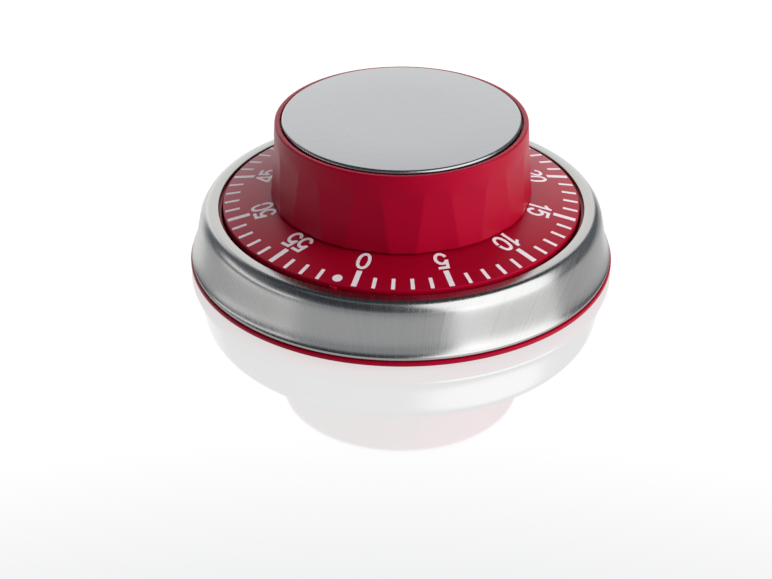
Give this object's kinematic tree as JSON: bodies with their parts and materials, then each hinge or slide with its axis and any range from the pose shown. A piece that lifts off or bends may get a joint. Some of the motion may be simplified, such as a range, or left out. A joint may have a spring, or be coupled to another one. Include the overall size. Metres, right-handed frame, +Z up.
{
  "type": "kitchen timer",
  "caption": "Round clockwork kitchen timer: a faceted red knob with a brushed steel top turns a red minute dial inside a brushed steel ring on a red base with feet and magnets.",
  "frame": {"origin": "centre of the circular base, on the surface that the feet stand on", "axes": "+Z up along the knob's axis, which is the shortest side; -Y is the front, towards which the dial's zero mark points at rest"},
  "size_m": [0.09, 0.09, 0.0334],
  "materials": {
    "red_plastic": "satin moulded",
    "brushed_sheet": "straight brushed stainless sheet",
    "black_plastic": "fine spark-eroded texture",
    "foot_rubber": "matt",
    "magnet_nickel": "nickel plated",
    "movement_brass": "stamped sheet",
    "movement_steel": "plain machined"
  },
  "bodies": {
    "housing": {"base_shell": "red_plastic", "steel_ring": "brushed_sheet", "bottom_cover": "black_plastic", "rubber_foot_1": "foot_rubber", "rubber_foot_2": "foot_rubber", "rubber_foot_3": "foot_rubber", "magnet_1": "magnet_nickel", "magnet_2": "magnet_nickel", "magnet_3": "magnet_nickel", "cover_screw_1": "movement_steel", "cover_screw_2": "movement_steel", "cover_screw_3": "movement_steel", "lower_plate": "movement_brass", "upper_plate": "movement_brass", "pillar_1": "movement_steel", "pillar_2": "movement_steel", "pillar_3": "movement_steel", "movement_screw_1": "movement_steel", "movement_screw_2": "movement_steel", "movement_screw_3": "movement_steel", "plate_nut_1": "movement_steel", "plate_nut_2": "movement_steel", "plate_nut_3": "movement_steel", "mainspring": "movement_steel", "bell_post": "movement_steel", "bell": "movement_steel", "bell_nut": "movement_steel"},
    "dial_assembly": {"dial": "red_plastic", "knob": "red_plastic", "knob_cap": "brushed_sheet", "main_arbor": "movement_steel", "main_wheel": "movement_brass", "ratchet_wheel": "movement_steel", "ratchet_click": "movement_steel", "release_cam": "movement_steel", "dial_screw_1": "movement_steel", "dial_screw_2": "movement_steel", "dial_screw_3": "movement_steel"},
    "second_arbor": {"second_pinion": "movement_steel", "second_wheel": "movement_brass"},
    "third_arbor": {"third_pinion": "movement_steel", "third_wheel": "movement_brass"},
    "escape_arbor": {"escape_pinion": "movement_steel", "escape_wheel": "movement_brass"},
    "pallet": {"pallet_lever": "movement_steel", "pallet_arbor": "movement_steel"},
    "hammer": {"hammer_arbor": "movement_steel", "hammer_arm": "movement_steel", "hammer_tail": "movement_steel", "hammer_spring": "movement_steel"}
  },
  "joints": [
    {"name": "dial_turn", "type": "hinge", "parent": "housing", "child": "dial_assembly", "pos_m": [0, 0, 0.012], "axis": [0, 0, 1], "range_deg": [-354, 0]},
    {"name": "second_arbor_turn", "type": "hinge", "parent": "housing", "child": "second_arbor", "pos_m": [0.0106, -0.00386, 0.012], "axis": [0, 0, 1], "range_deg": [0, 2124]},
    {"name": "third_arbor_turn", "type": "hinge", "parent": "housing", "child": "third_arbor", "pos_m": [0.01118, 0.0058, 0.012], "axis": [0, 0, 1], "range_deg": [-10620, 0]},
    {"name": "escape_arbor_turn", "type": "hinge", "parent": "housing", "child": "escape_arbor", "pos_m": [0.0073, 0.01379, 0.012], "axis": [0, 0, 1], "range_deg": [0, 47790]},
    {"name": "pallet_rock", "type": "hinge", "parent": "housing", "child": "pallet", "pos_m": [0.00107, 0.01476, 0.012], "axis": [0, 0, 1], "range_deg": [-4, 4]},
    {"name": "hammer_swing", "type": "hinge", "parent": "housing", "child": "hammer", "pos_m": [-0.01198, 0.00321, 0.012], "axis": [0, 0, 1], "range_deg": [-5, 4]}
  ],
  "couplings": [
    {"joint": "second_arbor_turn", "follows": "dial_turn", "ratio": -6},
    {"joint": "third_arbor_turn", "follows": "dial_turn", "ratio": 30},
    {"joint": "escape_arbor_turn", "follows": "dial_turn", "ratio": -135}
  ]
}
